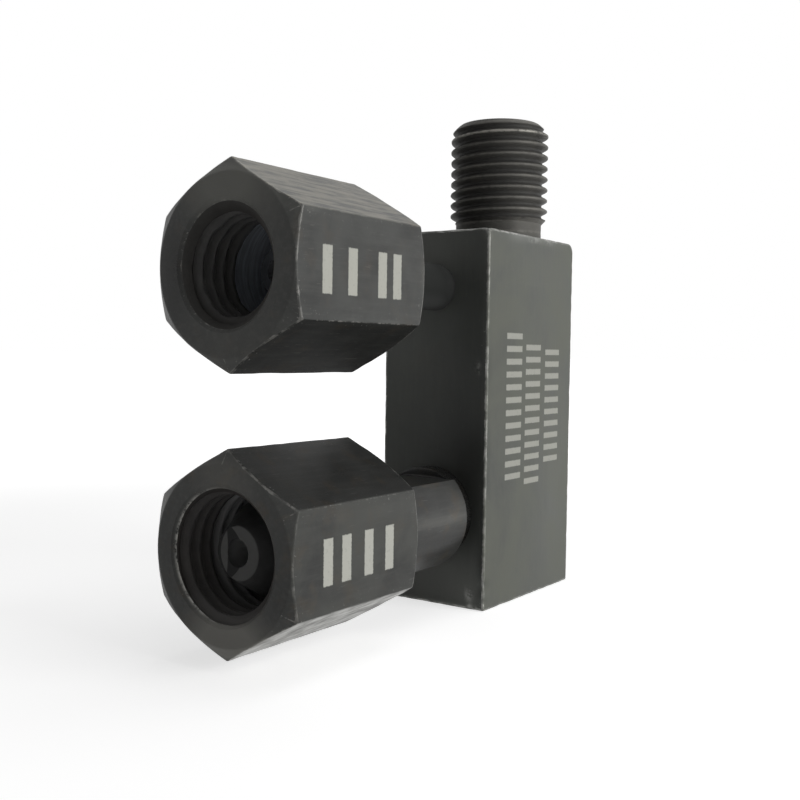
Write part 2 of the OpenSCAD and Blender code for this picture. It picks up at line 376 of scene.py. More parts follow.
blockLook = {
    "dark": (0.094, 0.099, 0.092), "light": (0.114, 0.120, 0.111), "warm": (0.110, 0.109, 0.098),
    "rub": (0.140, 0.144, 0.134), "pale": (0.22, 0.225, 0.21), "steel": (0.42, 0.42, 0.40),
    "polishAndSheenTone": (0.20, 0.20, 0.19), "cloud": 0.09, "warmth": 0.35, "streak": 0.22, "wear": 0.09,
    "ragged": 0.40, "bare": 0.30, "chips": 1.1, "chipped": 0.6, "rubbed": 0.85, "scratch": 0.05,
    "rough": 0.48, "metal": 0.03, "gloss": 0.16, "grain": (1.0, 1.0, 0.12), "lip": 0.9, "mottle": 1.0,
}
blockMarks = {
    "side": 8.0, "tone": (0.40, 0.40, 0.36), "strength": 0.92, "film": (0.116, 0.121, 0.098),
    "filmShare": 0.75,
    "rows": [(6.0, 4.2, 17.6, 34.2, 1.66, 0.46), (0.4, 4.2, 15.0, 34.8, 1.65, 0.46),
             (-4.9, 4.2, 16.0, 36.3, 1.69, 0.46)],
}


# the outline in Y and Z is four straight runs and four quarter circles; it is swept along X, drawn in by
# r*(1 - cos) over the last r of each end, and then shrunk in rings towards the middle of each end face. Nicks
# and dents push its points towards the core, a box that far inside
def blockPiece(spec):
    halfX, halfY, top = np.array(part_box("block")[1]) / mm
    r = spec["round"]
    big = spec["backRound"]
    far = 1.0  # the large rounding isn't worn like a sharp edge
    corners = [(-halfY, 0, r, 180), (halfY, 0, r, 270), (halfY, top, big, 0), (-halfY, top, r, 90)]
    outline = []
    normals = []
    toCorner = []
    for k, (y, z, rad, start) in enumerate(corners):
        centre = np.array([y - math.copysign(rad, y), z + (rad if z == 0 else -rad)])
        turn = np.radians(start + np.linspace(0, 90, 9 if rad < 1 else 15))
        n = np.stack([np.cos(turn), np.sin(turn)], 1)
        outline.append(centre + rad * n)
        normals.append(n)
        toCorner.append(np.full(len(n), far if rad > 1 else 0.0))
        y2, z2, rad2, _ = corners[(k + 1) % 4]
        endY = y2 - (math.copysign(rad2, y2) if k in (0, 2) else 0)
        endZ = z2 + ((rad2 if z2 == 0 else -rad2) if k in (1, 3) else 0)
        begin = outline[-1][-1]
        end = np.array([endY, endZ])
        length = np.linalg.norm(end - begin)
        t = crowded(int(length / spec["columnStep"]))[1:-1, None]
        outline.append(begin + (end - begin) * t)
        normals.append(np.broadcast_to(n[-1], (len(t), 2)))
        fromStart = t[:, 0] * length + (far if rad > 1 else 0)
        toEnd = (1 - t[:, 0]) * length + (far if rad2 > 1 else 0)
        toCorner.append(np.minimum(fromStart, toEnd))
    outline = np.concatenate(outline)
    normals = np.concatenate(normals)
    toCorner = np.concatenate(toCorner)
    walk = np.cumsum(np.linalg.norm(np.diff(outline, axis=0, prepend=outline[:1]), axis=1))
    rings = np.array([6.5, 5.2, 4.2, 3.3, 2.5, 1.8, 1.2, 0.8, 0.4, 0.15])
    bend = np.radians(np.linspace(0, 90, 6))
    straight = (halfX - r) - 2 * (halfX - r) * crowded(spec["rows"])[1:-1]
    ends = [(halfX, d + r, True, d) for d in rings]
    ends += [(halfX - r + r * math.sin(b), r * (1 - math.cos(b)), False, 0.0) for b in bend[::-1]]
    rows = ends + [(x, 0.0, False, halfX - r - abs(x)) for x in straight]
    rows += [(-x, inset, cap, gap) for x, inset, cap, gap in ends[::-1]]
    x, inset, cap, gap = [np.array(column)[:, None] for column in zip(*rows)]
    middle = np.array([0, top / 2])
    scale = np.stack([(halfY - inset) / halfY, (top / 2 - inset) / (top / 2)], -1)
    shrunk = middle + (outline - middle)[None] * scale
    pushed = outline[None] - normals[None] * inset[..., None]
    yz = np.where(cap[..., None], shrunk, pushed)
    points = np.concatenate([np.broadcast_to(x, yz.shape[:2])[..., None], yz], -1)
    edge = np.where(cap, gap, np.minimum(toCorner[None], gap))
    uneven = ripple(walk[None] * 1.3 + 40, points[..., 0] * 0.9 + 20, spec["seed"])
    dent = spec["nick"] * np.clip(uneven + 0.1, 0, 1) * np.exp(-edge / 0.35)
    for place, depth, size in spec["dents"]:
        dent = dent + depth * np.exp(-((points - np.array(place)) ** 2).sum(-1) / size ** 2)
    deep = spec["core"]
    coreLow = [deep - halfX, deep - halfY, deep]
    coreHigh = [halfX - deep, halfY - deep, top - deep]
    inward = np.clip(points, coreLow, coreHigh) - points
    inward = inward / np.maximum(np.linalg.norm(inward, axis=-1, keepdims=True), 1e-6)
    points = points + inward * dent[..., None]
    worn = patchTint(points, spec["worn"]) - 1
    facts = {"edge": edge, "tint": patchTint(points, spec["stainsAndPaintedLight"]), "polishAndSheen": 0.0, "lip": worn}
    return gridPiece("blockBody", points, False, facts, capEnds=True)


body = blockPiece(blockShape)
body.data.materials.append(steelPaint("blackOxideMilled", blockLook, blockMarks))
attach(body, "root")
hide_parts("block")
print("block ready")

# The outlet stud. Its tint patches are mostly painted light and shade, darker on the -X side and lighter on
# the
# +X side. shade is painted shade on the flanks that face up and on the roots, and topCrest is the height and
# spread of the crest that is rubbed most.

studShape = {
    "crest": 6.86, "root": 6.05, "pitch": 1.5, "phase": 0.66, "relief": 6.05, "reliefTop": 2.4, "foot": 5.0,
    "chamfer": 1.25, "lean": 0.8, "bend": 0.12, "bore": 1.5, "seat": 4.5, "seatAngle": 30,
    "columns": 144, "step": 0.06, "crestFlat": 0.12, "rootFlat": 0.16, "soft": 0.55, "wave": 0.025,
    "seed": 3, "shade": 0.45, "topCrest": (63.45, 0.5),
    # painted light and shade: darker on the -X side, lighter on the +X side
    "stainsAndPaintedLight": [((-6, 0, 52), -0.22, (4, 9, 6)), ((6, 3, 52), 0.45, (3, 6, 4)), ((6, 0, 60), 0.35, (3, 6, 9)),
               ((-6.5, 3, 58), -0.25, (2.5, 6, 9)), ((0, 4, 65), 0.4, (9, 9, 1.2))],
}
studLook = {
    "dark": (0.060, 0.058, 0.054), "light": (0.086, 0.084, 0.077), "warm": (0.104, 0.096, 0.082),
    "rub": (0.13, 0.125, 0.112), "pale": (0.19, 0.185, 0.17), "steel": (0.27, 0.26, 0.235),
    "root": (0.062, 0.062, 0.062), "hollow": (0.02, 0.02, 0.02), "gloss": 0.05,
}


# rows of rings: foot, relief, then the thread as a height field, where the radius is the smaller of
# crest - depth*groove(height/pitch - angle/turn) and the outline with its top chamfer, then the seat's cone
# by its angle a side, and the bore
def studPiece(spec):
    low, high = [np.array(v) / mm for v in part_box("outlet_stud")]
    centreY = (low[1] + high[1]) / 2
    foot = low[2]
    top = high[2]
    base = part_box("block")[1][2] / mm
    columns = spec["columns"]
    angle = np.linspace(0, 2 * math.pi, columns, endpoint=False)[None, :]
    z = np.arange(base + 0.3, top - 0.02, spec["step"])[:, None]
    rise = np.clip(z - base - spec["reliefTop"], 0, spec["crest"] - spec["relief"])
    over = np.clip(z - (top - spec["chamfer"]), 0, 9)
    chamfer = spec["crest"] - over * spec["lean"] - over ** 3 * spec["bend"]
    outline = np.minimum(spec["relief"] + rise, chamfer)
    turns = (z - spec["phase"]) / spec["pitch"] - angle / (2 * math.pi)
    groove = grooveDepth(turns, spec["crestFlat"], spec["rootFlat"], spec["soft"])
    thread = spec["crest"] - (spec["crest"] - spec["root"]) * groove
    wave = spec["wave"] * ripple(angle * 9, z * 2, spec["seed"])
    radius = np.minimum(outline, thread) + wave * (groove < 0.4)
    seatDepth = (spec["seat"] - spec["bore"]) / math.tan(math.radians(spec["seatAngle"]))
    rim = outline[-1, 0] - 0.06
    before = [(foot, spec["bore"]), (foot, spec["foot"]), (base, spec["foot"]), (base, spec["relief"] - 0.1),
              (base + 0.12, spec["relief"])]
    after = [(top, rim), (top, 5.0), (top, spec["seat"] + 0.1), (top - 0.12, spec["seat"] - 0.05)]
    narrowing = spec["bore"] - spec["seat"]
    after += [(top - seatDepth * t, spec["seat"] + narrowing * t) for t in (0.25, 0.5, 0.75, 1)]
    after += [(top - seatDepth - 3, spec["bore"]), (foot + 4, spec["bore"])]

    def rings(pairs, k):
        return np.broadcast_to(np.array(pairs)[:, k][:, None], (len(pairs), columns))

    height = np.concatenate([rings(before, 0), np.broadcast_to(z, radius.shape), rings(after, 0)])
    reach = np.concatenate([rings(before, 1), radius, rings(after, 1)])
    points = np.stack([reach * np.cos(angle), centreY + reach * np.sin(angle), height], -1)
    threaded = slice(len(before), len(before) + len(z))
    edge = np.full(reach.shape, 2.0)
    edge[threaded] = groove * 0.9 + 0.05
    inside = np.zeros(reach.shape)
    inside[-6:] = [[0.5], [0.7], [0.9], [1], [1], [1]]
    deep = np.zeros(reach.shape)
    deep[threaded] = np.clip(groove * 1.2 - 0.2, 0, 1) * np.where(radius < outline - 0.02, 1, 0.2)
    t = turns % 1
    # painted shade: the flanks that face up and the roots are darkened by shade
    shaded = np.clip(np.minimum(t - 0.07, 0.64 - t) * 12, 0, 1) * (0.6 + 0.8 * t) * (radius < outline - 0.02)
    tint = patchTint(points, spec["stainsAndPaintedLight"])
    tint[threaded] = tint[threaded] * (1 - spec["shade"] * shaded)
    crestHeight, crestSpread = spec["topCrest"]
    rubbed = np.exp(-((points[..., 2] - crestHeight) / crestSpread) ** 2)
    facts = {"edge": edge, "inside": inside, "groove": deep, "tint": tint, "rubbed": rubbed}
    return gridPiece("studThread", points, True, facts, sharp=60)


# black oxide on the thread: clouds, brown blotches and lines, scaled by the fact tint, which holds painted
# light and shade, and darker down the groove as painted shade. Crests are rubbed to steel where noise lets
# them, the top one most, and the seat darkens inwards
def studPaint(look):
    paint = Paint("blackOxideThread")
    place = paint.place()
    cloud = paint.noise(place, 0.2, 4, 0.6, 0.4)
    second = paint.noise(paint.place(shift=(37, 11, 5)), 0.54, 5, 0.6)
    fine = paint.noise(place, 5.5, 4, 0.65)
    lines = paint.noise(paint.place((1.0, 1.0, 3.0)), 1.6, 5, 0.62)
    tone = paint.blend(paint.step(cloud, 0.32, 0.68), look["dark"], look["light"])
    tone = paint.blend(paint.step(second, 0.52, 0.74) * 0.6, tone, look["warm"])
    tone = paint.blend(paint.step(lines, 0.35, 0.75) * 0.3, tone, look["rub"])
    tone = paint.tinted(paint.fact("tint"), tone, look["pale"])
    # painted shade down the groove
    tone = paint.blend(paint.fact("groove") * 0.4, tone, look["root"])
    shake = paint.noise(place, 1.1, 5, 0.7)
    onCrest = paint.step(paint.fact("edge") + (shake - 0.5) * 0.7, 0.18, 0.03)
    worn = onCrest * (paint.fact("rubbed") * 0.7 + 0.18)
    tone = paint.blend(worn, tone, look["steel"])
    tone = paint.blend(paint.fact("inside") * 0.7, tone, look["hollow"])
    rough = 0.50 + (fine - 0.5) * 0.25 - worn * 0.08
    return paint.finish(tone, rough, worn * 0.4 + 0.05, lines * 0.5 + fine * 0.6, 0.012, look["gloss"])


stud = studPiece(studShape)
stud.data.materials.append(studPaint(studLook))
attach(stud, "root")
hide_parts("outlet_stud")
print("stud ready")

# The hexagon couplings. behind lists (distance behind the hexagon, radius) of shank and spigot.
# facetLightAndShade and facetPolishAndSheen run from the +X flat towards +Z: facetLightAndShade is painted
# light and shade on each facet, and facetPolishAndSheen gives rubbed patches that on the lower hexagon's
# lower facet also paint the floor's reflection. A chamfered mouth shows the face's steel down to faceDepth.
# The shank's flat is darker by flatShade, painted shade, and from rearFrom behind the hexagon on the tint is
# scaled by rearPaintedShade, painted shade on the shank's rear end.

couplingShape = {
    "af": 19.0, "pitch": 1.5, "crestFlat": 0.2, "rootFlat": 0.14, "soft": 0.5, "bore": 1.45, "tail": 2.5,
    "tailDepth": 4.0, "faceInset": 0.18, "edgeRound": 0.14, "nick": 0.05, "flatShade": 0.45, "rearFrom": 14.6,
    "rearPaintedShade": 0.3,
}
upperShape = {
    **couplingShape, "name": "upperHex", "node": "upper_coupling", "length": 22.0, "mouth": 6.8,
    "crest": 5.19, "root": 6.0, "threadEnd": 7.4, "relief": 6.1, "bottom": 15.0, "phase": 1.45,
    "behind": [(0.0, 3.0)], "flat": None, "seed": 11, "round": 0.32, "faceDepth": 0.35, "uneven": 0.14,
    "slimNeck": True, "shadedFacet": 5, "facetLightAndShade": [0.80, 1.10, 0.9, 0.9, 0.8, 0.53],
    "facetPolishAndSheen": [0.0, 0.30, 0.2, 0.0, 0.0, 0.0],
    "stainsAndPaintedLight": [((0, -50.7, 50), 1.3, (6, 0.7, 4)), ((-8, -50.7, 41), -0.40, (5, 0.7, 9)),
               ((-6.9, -50.7, 41.6), -0.35, (0.8, 0.7, 4.5)), ((6.5, -50.7, 41), 0.05, (3, 0.7, 7)),
               ((0, -50.7, 33), 0.20, (6, 0.7, 4)), ((9.5, -48.5, 46.9), 0.6, (1, 1.2, 0.4)),
               ((9.5, -42, 36.4), 0.5, (1, 1.5, 0.35)), ((9.5, -35.5, 36.3), 0.6, (1, 2.5, 0.3)),
               ((9.5, -29, 41), 0.5, (1, 0.4, 3))],
}
lowerShape = {
    **couplingShape, "name": "lowerHex", "node": "lower_coupling", "length": 21.6, "mouth": 7.35,
    "crest": 6.19, "root": 7.0, "threadEnd": 10.2, "relief": 6.3, "bottom": 11.0, "phase": 0.9,
    "behind": [(0.0, 6.95), (14.8, 6.95), (14.8, 6.0)], "flat": 4.85, "seed": 23, "round": 0.3,
    "faceDepth": 0.42, "uneven": 0.05, "slimNeck": False, "shadedFacet": None,
    "facetLightAndShade": [0.68, 0.46, 0.9, 0.9, 0.9, 1.50], "facetPolishAndSheen": [0.0, 0.0, 0.0, 0.0, 0.2, 1.0],
    "stainsAndPaintedLight": [((0, -50.9, 20), 0.35, (5, 0.7, 4)), ((-7.5, -50.9, 13), -0.35, (4, 0.7, 9)),
               ((1, -50.9, 2.5), 1.9, (5, 0.7, 4)), ((7, -50.9, 12), -0.22, (3, 0.7, 7)),
               # painted light and shade on the shank: darker above and below its middle, with a painted
               # highlight band
               ((4, -22, 10.2), -0.72, (7, 14, 1.6)), ((4, -22, 7.2), -0.42, (7, 14, 1.9)),
               ((4, -22, 15.4), -0.38, (7, 14, 1.9)), ((5, -22, 12.6), 0.30, (7, 14, 0.9)),
               ((9.5, -44, 16.2), 0.5, (1, 1.5, 0.4)), ((9.5, -36, 16.2), 0.6, (1, 3, 0.45)),
               ((9.5, -30.3, 15.6), 0.6, (1, 1, 0.9)), ((5, -38, 20), -0.12, (2, 2, 2))],
}
couplingLook = {
    "dark": (0.047, 0.048, 0.046), "light": (0.069, 0.070, 0.067), "warm": (0.087, 0.075, 0.061),
    "rub": (0.112, 0.112, 0.105), "pale": (0.165, 0.165, 0.15), "steel": (0.30, 0.295, 0.275),
    "polishAndSheenTone": (0.38, 0.35, 0.27), "cloud": 0.14, "warmth": 0.55, "streak": 0.35, "wear": 0.06,
    "ragged": 0.55, "bare": 0.15, "chips": 1.6, "chipped": 0.55, "rubbed": 0.5, "scratch": 0.10,
    "rough": 0.46, "metal": 0.03, "gloss": 0.20, "grain": (1.0, 0.09, 1.0), "lip": 0.0, "mottle": 0.25,
}
lowerLook = {**couplingLook, "mottle": 0.6, "polishAndSheenTone": (0.44, 0.44, 0.42), "pale": (0.235, 0.23, 0.21),
             "warm": (0.095, 0.075, 0.052), "lip": 1.0}
# painted shade: a copy of the coupling's finish without gloss, for the upper hexagon's lower facet
shadedLook = {**couplingLook, "gloss": 0.01, "metal": 0.0}
upperMarks = {
    "side": 9.5, "tone": (0.47, 0.47, 0.42), "strength": 0.95, "film": (0.074, 0.077, 0.072),
    "filmShare": 0.5,
    "rows": [(-46.0, 1.5, 38.8, 43.6, 0, 0), (-41.9, 1.5, 38.8, 43.6, 0, 0), (-36.8, 1.5, 38.8, 43.6, 0, 0),
             (-34.1, 1.5, 38.8, 43.6, 0, 0)],
}
lowerMarks = {
    "side": 9.5, "tone": (0.50, 0.50, 0.45), "strength": 0.95, "film": (0.068, 0.070, 0.062),
    "filmShare": 0.6,
    "rows": [(-45.4, 1.5, 9.6, 14.4, 0, 0), (-42.4, 1.5, 9.6, 14.4, 0, 0), (-38.6, 1.5, 9.6, 14.4, 0, 0),
             (-34.9, 1.5, 9.6, 14.4, 0, 0)],
}
# near is painted light in the grooves; deep and bare are bare steel painted pale and bluish, painted light
# and sheen deep in the bore
upperBoreLook = {
    "rim": (0.058, 0.056, 0.053), "cone": (0.034, 0.032, 0.030), "coneEnd": 1.6, "near": (0.14, 0.137, 0.132),
    "crest": (0.078, 0.077, 0.076), "deep": (0.42, 0.45, 0.50), "bare": (0.62, 0.66, 0.72), "deepFrom": 6.7,
    "gloss": 0.08, "under": None,
}
# near is painted light in the grooves; deep and bare are bare steel painted pale, painted light deep in the
# bore; under is painted light on the lower half
lowerBoreLook = {
    "rim": (0.036, 0.033, 0.031), "cone": (0.032, 0.029, 0.027), "coneEnd": 1.0, "near": (0.12, 0.113, 0.108),
    "crest": (0.072, 0.069, 0.067), "deep": (0.28, 0.28, 0.28), "bare": (0.36, 0.36, 0.36), "deepFrom": 5.0,
    "gloss": 0.06, "under": (0.21, 0.205, 0.20), "lit": 0.6, "middle": 10.9,
}
# painted shade and light: the neck is dark, with painted light under it and at its foot
neckLook = {
    "dark": (0.014, 0.015, 0.014), "light": (0.019, 0.020, 0.019), "under": (0.052, 0.053, 0.052),
    "middle": 41.6, "foot": -12.0, "gloss": 0.16,
}


# each column runs once round the section: from the bore at the back, over spigot, shank and hexagon to the
# mouth, and back down the bore. Outside, a chamfer cone of 30 degrees meets the hexagon at (R - r0)*tan(30).
# Inside, the radius is the larger of the mouth's cone and crest + depth*groove(depth/pitch + angle/turn). A
# flat shank is cut at flat/sin(angle), and its rear face runs from there to the spigot
def couplingPiece(spec):
    low, high = [np.array(v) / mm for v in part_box(spec["node"])]
    mouthY = low[1]
    rear = high[1] - low[1]
    centreZ = (low[2] + high[2]) / 2
    half = spec["af"] / 2
    length = spec["length"]
    more = []
    if spec["flat"]:
        turn = math.degrees(math.asin(spec["flat"] / spec["behind"][0][1]))
        more = [start + sign for start in (turn, 180 - turn) for sign in (-0.5, 0, 0.5)]
    angle = hexAngles(half, spec["round"], more)
    cols = len(angle)
    radius = hexRadius(angle, half, spec["round"])
    face = half - spec["faceInset"]
    cone = (radius - face) * math.tan(math.pi / 6)

    def full(v):
        return np.full(cols, float(v))

    def wide(v):
        return np.broadcast_to(v[:, None], (len(v), cols))

    knots = [(full(rear), full(spec["bore"])), (full(rear), full(spec["behind"][-1][1]))]
    knots += [(full(length + offset), full(r)) for offset, r in spec["behind"][::-1]]
    knots += [(full(length), full(face)), (length - cone, radius), (cone, radius), (full(0), full(face))]
    knots += [(full(0), full(spec["mouth"]))]
    knots = np.array(knots)
    gaps = np.linalg.norm(np.diff(knots, axis=0), axis=1).max(1)
    steps = [int(np.clip(g / 0.7, 4, 34)) for g in gaps]
    keen = [True] * (len(knots) - 5) + [False, True, True, False, False]
    outer, near = roundedLine(knots, spec["edgeRound"], steps, keen)
    a = outer[:, 0]
    r = outer[:, 1]
    onHex = (a > 0.01) & (a < length - 0.01) & (r > face + 0.01)
    toCorner = np.broadcast_to(cornerDistance(angle, half), a.shape)
    edge = np.where(onHex, np.minimum(near, np.abs(toCorner)), near)
    dent = spec["nick"] * np.clip(ripple(a * 1.1 + 30, angle[None] * 7 + 9, spec["seed"]) + 0.1, 0, 1)
    r = r - dent * np.exp(-edge / 0.3)
    flatShare = np.zeros(a.shape)
    if spec["flat"]:
        shank = spec["behind"][0][1]
        spigot = spec["behind"][-1][1]
        cut = np.minimum(shank, spec["flat"] / np.maximum(np.sin(angle), 0.01))[None]
        t = np.clip((shank - outer[:, 1]) / (shank - spigot), 0, 1)
        behind = (a > length) & (outer[:, 1] <= shank + 1e-6) & (outer[:, 1] >= spigot - 1e-6)
        flatShare = np.where(behind & (t < 0.5) & (cut < shank), 1.0, 0.0)
        r = np.where(behind, cut + (spigot - cut) * t - dent * np.exp(-edge / 0.3) * 0.5, r)
        edge = np.where(behind, 2.0, edge)
    depth = np.arange(0.05, spec["bottom"], 0.065)[:, None]
    turns = (depth - spec["phase"]) / spec["pitch"] + angle[None] / (2 * math.pi)
    groove = grooveDepth(turns, spec["crestFlat"], spec["rootFlat"], spec["soft"])
    uneven = spec["uneven"] * ripple(angle[None] * 5 + 3, depth * 2 + 7, spec["seed"] + 1)
    thread = spec["crest"] + uneven * (1 - groove) + (spec["root"] - spec["crest"]) * groove
    past = np.clip((depth - spec["threadEnd"]) / 0.4, 0, 1)
    thread = thread * (1 - past) + spec["relief"] * past
    mouthCone = spec["mouth"] - depth
    inner = np.maximum(mouthCone, thread)
    lipEdge = np.abs(depth - spec["faceDepth"]) * 0.8 + 0.02
    innerEdge = np.where(depth < spec["faceDepth"] + 0.2, lipEdge, 2.0)
    bottom = spec["bottom"]
    tailEnd = bottom + spec["tailDepth"]
    tail = np.array([(bottom, spec["relief"] * 0.97), (bottom, spec["tail"]), (tailEnd, spec["tail"]),
                     (tailEnd, spec["bore"]), (rear - 1, spec["bore"])])
    along = np.concatenate([a, np.broadcast_to(depth, inner.shape), wide(tail[:, 0])])
    reach = np.concatenate([r, inner, wide(tail[:, 1])])
    edge = np.concatenate([edge, np.broadcast_to(innerEdge, inner.shape), np.full((len(tail), cols), 3.0)])
    inGroove = np.where(inner > mouthCone + 0.01, groove, 0) * (1 - past)
    groove = np.concatenate([np.zeros(a.shape), inGroove, np.zeros((len(tail), cols))])
    points = np.stack([reach * np.cos(angle), mouthY + along, centreZ + reach * np.sin(angle)], -1)
    facet = np.round(np.degrees(angle) / 60).astype(int) % 6
    elsewhere = np.zeros((len(inner) + len(tail), cols), bool)
    onFacet = np.concatenate([outer[:, 1] > radius[None] - 0.06, elsewhere])
    tint = patchTint(points, spec["stainsAndPaintedLight"])
    # painted light and shade on each facet
    tint = tint * np.where(onFacet, np.array(spec["facetLightAndShade"])[facet][None], 1.0)
    # painted shade on the shank's rear end and on its flat
    rearPaintedShade = np.where(a > length + spec["rearFrom"], spec["rearPaintedShade"], 1.0)
    tint[:len(a)] = tint[:len(a)] * (1 - spec["flatShade"] * flatShare) * rearPaintedShade
    # rubbed patches, and on the lower hexagon's lower facet a painted floor reflection
    polishAndSheen = np.where(onFacet, np.array(spec["facetPolishAndSheen"])[facet][None], 0.0)
    coats = np.zeros(along.shape)  # 0 outside, 1 bore, 2 shaded facet, 3 neck
    coats[len(a):] = 1
    coats[len(a):len(a) + len(depth)][depth[:, 0] < spec["faceDepth"]] = 0
    if spec["shadedFacet"] is not None:
        coats[:len(a)][onFacet[:len(a)] & (facet == spec["shadedFacet"])[None]] = 2
    if spec["slimNeck"]:
        coats[:len(a) - 1][a[:-1].min(1) > length + 0.1] = 3
    turned = np.exp(-((along - spec["faceDepth"]) / 0.14) ** 2) * np.clip(0.35 - np.cos(angle), 0, 1)
    lip = np.zeros(along.shape)
    lip[len(a) - 2:len(a) + len(depth)] = turned[len(a) - 2:len(a) + len(depth)]
    facts = {"edge": edge, "groove": groove, "along": along, "tint": tint, "polishAndSheen": polishAndSheen, "lip": lip}
    return gridPiece(spec["name"], points, True, facts, sharp=38, coats=coats)


# the bores' steel, by the distance along: a dark cone at the mouth, paler at its rim, then the thread, its
# grooves painted paler than its crests as painted light against their shade, and from deepFrom on bare steel
# with fine rings round the axis, painted paler still as painted light deep in the bore. Where a look has
# under, that tone is painted light, mixed in below the middle
def borePaint(name, look):
    paint = Paint(name)
    place = paint.place()
    cloud = paint.noise(place, 0.45, 4, 0.6)
    fine = paint.noise(place, 4.0, 4, 0.6)
    rings = paint.noise(paint.place((0.2, 3.0, 0.2)), 1.0, 4, 0.7)
    along = paint.fact("along")
    groove = paint.fact("groove")
    tone = paint.blend(groove * 0.6 + paint.step(cloud, 0.3, 0.7) * 0.4, look["crest"], look["near"])
    pastRim = paint.step(along + (cloud - 0.5) * 1.6, 0.3, look["coneEnd"])
    cone = paint.blend(pastRim, look["rim"], look["cone"])
    tone = paint.blend(paint.step(along, look["coneEnd"] + 0.3, look["coneEnd"] - 0.3), tone, cone)
    deep = paint.step(along, look["deepFrom"], look["deepFrom"] + 1.0)
    bare = paint.blend(paint.step(rings, 0.35, 0.65), look["deep"], look["bare"])
    tone = paint.blend(deep, tone, bare)
    # painted light on the bore's lower half
    if look["under"]:
        below = paint.step(paint.axes(place)[2], look["middle"] - 2, look["middle"] - 6)
        tone = paint.blend(below * look["lit"], tone, look["under"])
    return paint.finish(tone, 0.50 + (fine - 0.5) * 0.2, 0.0, fine * 0.6, 0.01, look["gloss"])


# the neck's dark film, painted darker so that it shows little light against the block: its underside and its
# foot at the block are lighter, painted light, so that its shading stays even
def neckPaint(name, look):
    paint = Paint(name)
    place = paint.place()
    cloud = paint.noise(place, 0.3, 4, 0.6)
    y, z = paint.axes(place)[1:]
    tone = paint.blend(cloud, look["dark"], look["light"])
    under = paint.step(z, look["middle"] - 0.6, look["middle"] - 3.0)
    foot = paint.step(y, look["foot"] - 2.5, look["foot"] - 0.3) * 0.55
    tone = paint.blend(under.maths("MAXIMUM", foot), tone, look["under"])
    fine = paint.noise(place, 3.0, 4, 0.6)
    return paint.finish(tone, 0.8 + (cloud - 0.5) * 0.1, 0.0, fine, 0.01, look["gloss"])


upper = couplingPiece(upperShape)
upper.data.materials.append(steelPaint("blackOxideUpper", couplingLook, upperMarks))
upper.data.materials.append(borePaint("upperBore", upperBoreLook))
upper.data.materials.append(steelPaint("blackOxideShaded", shadedLook))
upper.data.materials.append(neckPaint("neckSteel", neckLook))
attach(upper, "root")
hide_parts("upper_coupling")
lower = couplingPiece(lowerShape)
lower.data.materials.append(steelPaint("blackOxideLower", lowerLook, lowerMarks))
lower.data.materials.append(borePaint("lowerBore", lowerBoreLook))
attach(lower, "root")
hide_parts("lower_coupling")
print("couplings ready")

# The nipples. gap is the dark band across the flat ring, from x to x at its middle, and gapBend how much its
# borders move to -X with z^2. rimStretch flattens the circle inside which the ring's left rim stays pale;
# outside it the left rim carries a painted shadow.

nippleShape = {"bore": 1.45, "tail": 2.5, "tailLength": 4.0, "cone": 30, "edgeRound": 0.1, "columns": 96}
nippleShapes = [
    {**nippleShape, "name": "upperNose", "node": "upper_nipple", "nose": 2.45, "head": 4.4, "gap": None},
    {**nippleShape, "name": "lowerNose", "node": "lower_nipple", "nose": 2.85, "head": 5.2,
     "gap": (-1.38, 0.81), "gapBend": (0.03, 0.245), "rimStretch": 1.35},
]
lowerNoseLook = {
    "dark": (0.075, 0.075, 0.075), "light": (0.095, 0.095, 0.095), "gap": (0.030, 0.030, 0.030),
    "ring": (0.125, 0.125, 0.122), "worn": (0.155, 0.155, 0.152), "hollow": (0.06, 0.06, 0.06),
    "depth": (0.42, 0.42, 0.42), "gloss": 0.05,
}
# painted light: the upper nipple deep in its bore is painted paler and bluer than the lower one
upperNoseLook = {**lowerNoseLook, "dark": (0.09, 0.096, 0.106), "light": (0.13, 0.138, 0.152),
                 "hollow": (0.3, 0.31, 0.33)}


# a ring profile turned round the axis: tail, round head, cone by its angle a side, flat nose and bore
def nosePiece(spec):
    low, high = [np.array(v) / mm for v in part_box(spec["node"])]
    length = high[1] - low[1]
    centreZ = (low[2] + high[2]) / 2
    nose = spec["nose"]
    head = spec["head"]
    tail = spec["tail"]
    shoulder = length - spec["tailLength"]
    coneEnd = (head - nose) / math.tan(math.radians(spec["cone"]))
    knots = [(length, spec["bore"]), (length, tail), (shoulder, tail), (shoulder, head), (coneEnd, head),
             (0, nose), (0, spec["bore"]), (length - 0.5, spec["bore"])]
    steps = [5, 6, 5, 8, 10, 10, 12]
    knots = np.repeat(np.array(knots)[:, :, None], spec["columns"], 2)
    rows, near = roundedLine(knots, spec["edgeRound"], steps)
    angle = np.linspace(0, 2 * math.pi, spec["columns"], endpoint=False)[None, :]
    reach = rows[:, 1]
    points = np.stack([reach * np.cos(angle), low[1] + rows[:, 0], centreZ + reach * np.sin(angle)], -1)
    inside = np.zeros(near.shape)
    inside[-steps[-1]:] = 1.0
    return gridPiece(spec["name"], points, True, {"edge": near, "inside": inside}, sharp=35)


